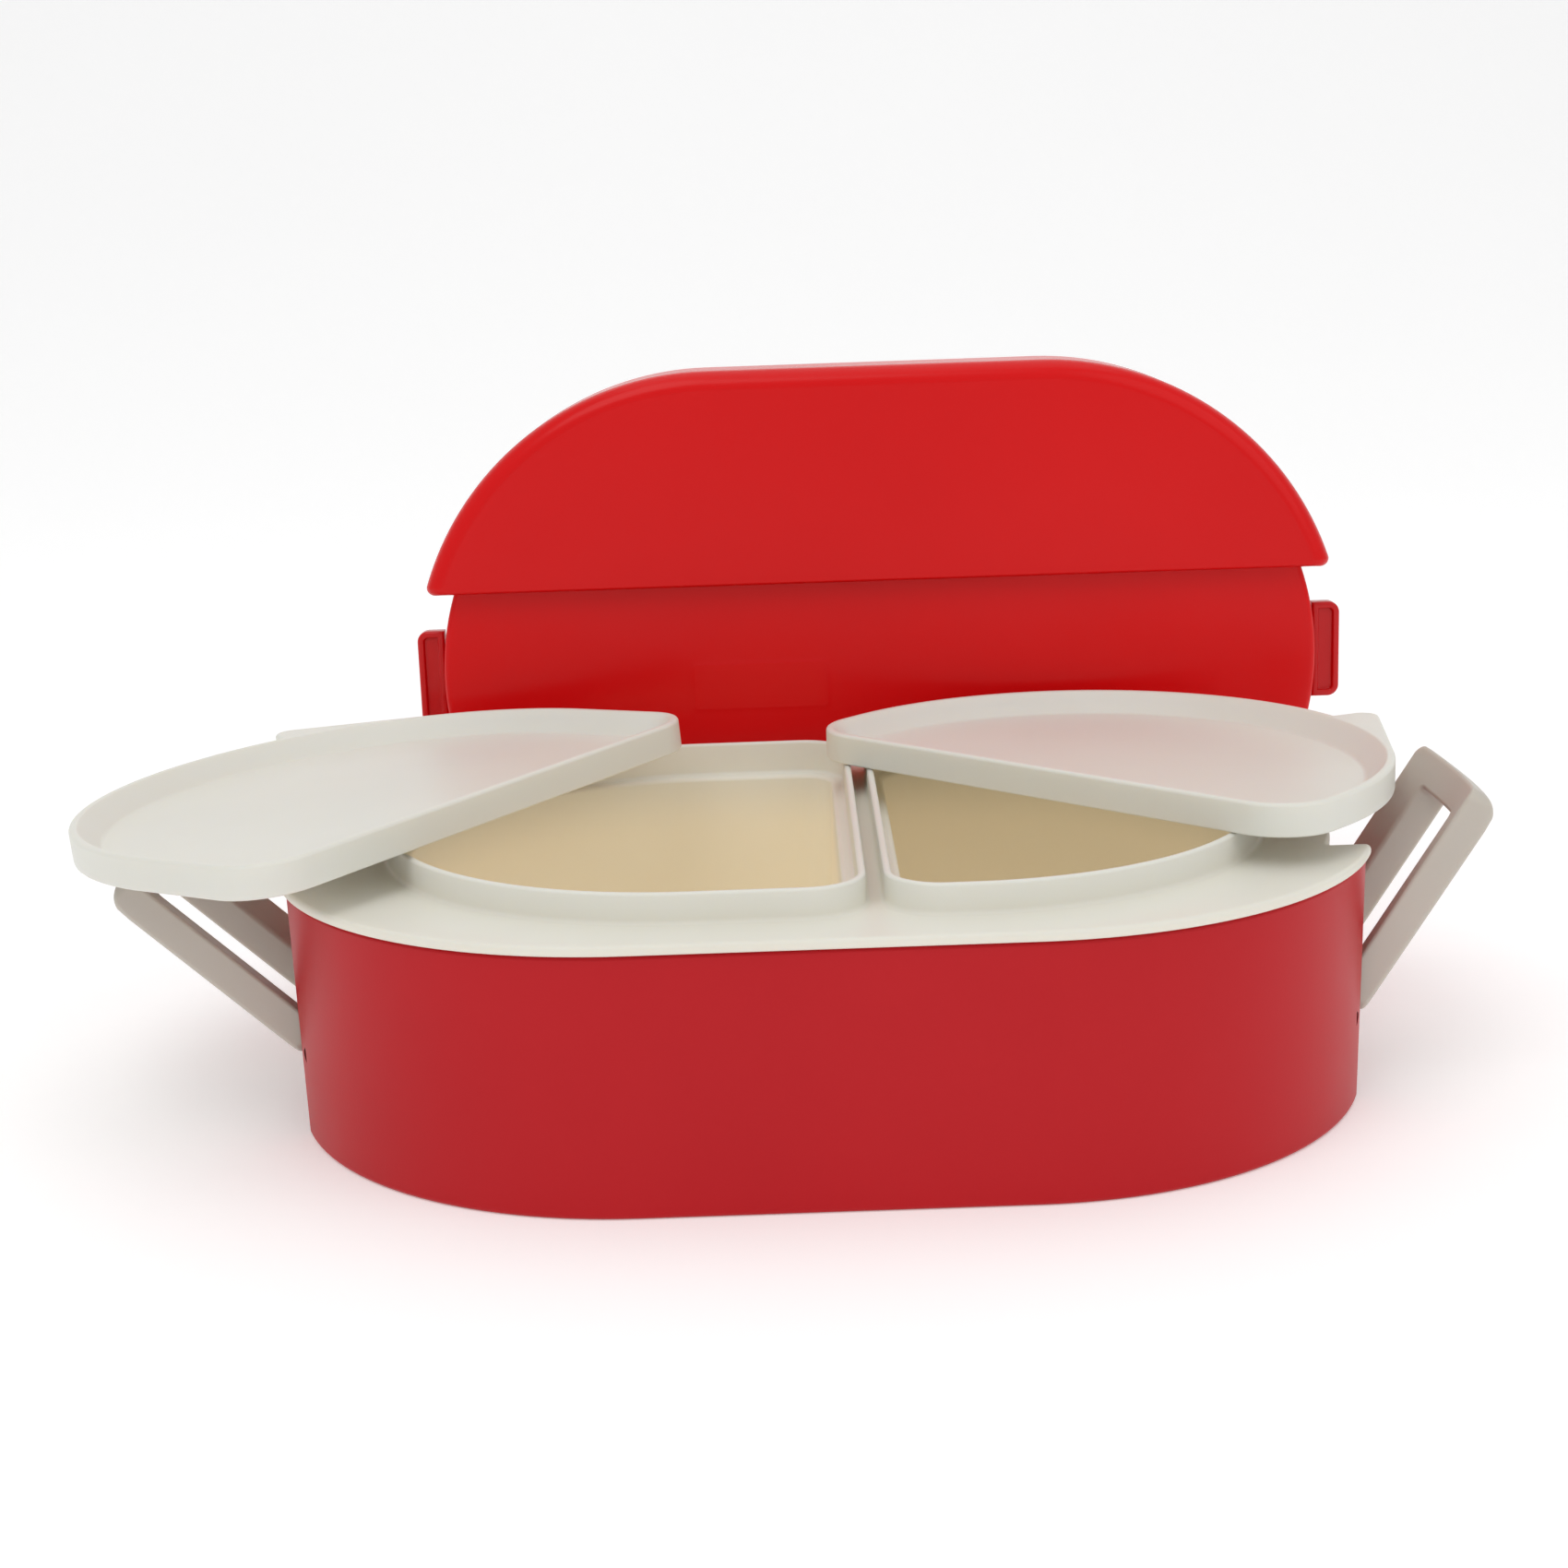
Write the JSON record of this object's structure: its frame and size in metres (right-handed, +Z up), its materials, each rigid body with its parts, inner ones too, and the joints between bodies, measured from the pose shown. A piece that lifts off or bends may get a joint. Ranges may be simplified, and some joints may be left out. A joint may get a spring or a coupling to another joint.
{
  "type": "two-compartment lunch box",
  "caption": "Oval lunch box set open: case with a removable walled tray, loose inner lids, a standing outer lid, and an end latch handle on each side.",
  "frame": {"origin": "centre of the case's underside, on the surface it stands on", "axes": "+X along the box's length, +Y across it towards the standing outer lid, +Z up"},
  "size_m": [0.2607, 0.1556, 0.1276],
  "materials": {
    "case_red": "satin red moulded plastic",
    "lid_red": "glossy red moulded plastic",
    "catch_red": "glossy darker red moulded plastic",
    "cream": "satin off-white moulded plastic"
  },
  "bodies": {
    "case": {"outer_case": "case_red"},
    "tray": {"food_tray": "cream"},
    "inner_lid_left": {"inner_lid_left": "cream"},
    "inner_lid_right": {"inner_lid_right": "cream"},
    "outer_lid": {"outer_lid": "lid_red", "lid_catch_left": "catch_red", "lid_catch_right": "catch_red"},
    "handle_left": {"latch_handle_left": "cream"},
    "handle_right": {"latch_handle_right": "cream"}
  },
  "joints": [
    {"name": "tray_lift", "type": "slide", "parent": "case", "child": "tray", "axis": [0, 0, 1], "range_m": [0, 0.06]},
    {"name": "inner_lid_left_lift", "type": "slide", "parent": "tray", "child": "inner_lid_left", "axis": [0, 0, 1], "range_m": [0, 0.08]},
    {"name": "inner_lid_right_lift", "type": "slide", "parent": "tray", "child": "inner_lid_right", "axis": [0, 0, 1], "range_m": [0, 0.08]},
    {"name": "outer_lid_lift", "type": "slide", "parent": "case", "child": "outer_lid", "axis": [0, 0, 1], "range_m": [0, 0.15]},
    {"name": "handle_left_hinge", "type": "hinge", "parent": "case", "child": "handle_left", "pos_m": [-0.0926, 0, 0.0165], "axis": [0, -1, 0], "range_deg": [0, 50]},
    {"name": "handle_right_hinge", "type": "hinge", "parent": "case", "child": "handle_right", "pos_m": [0.0926, 0, 0.0165], "axis": [0, 1, 0], "range_deg": [-6, 65]}
  ]
}
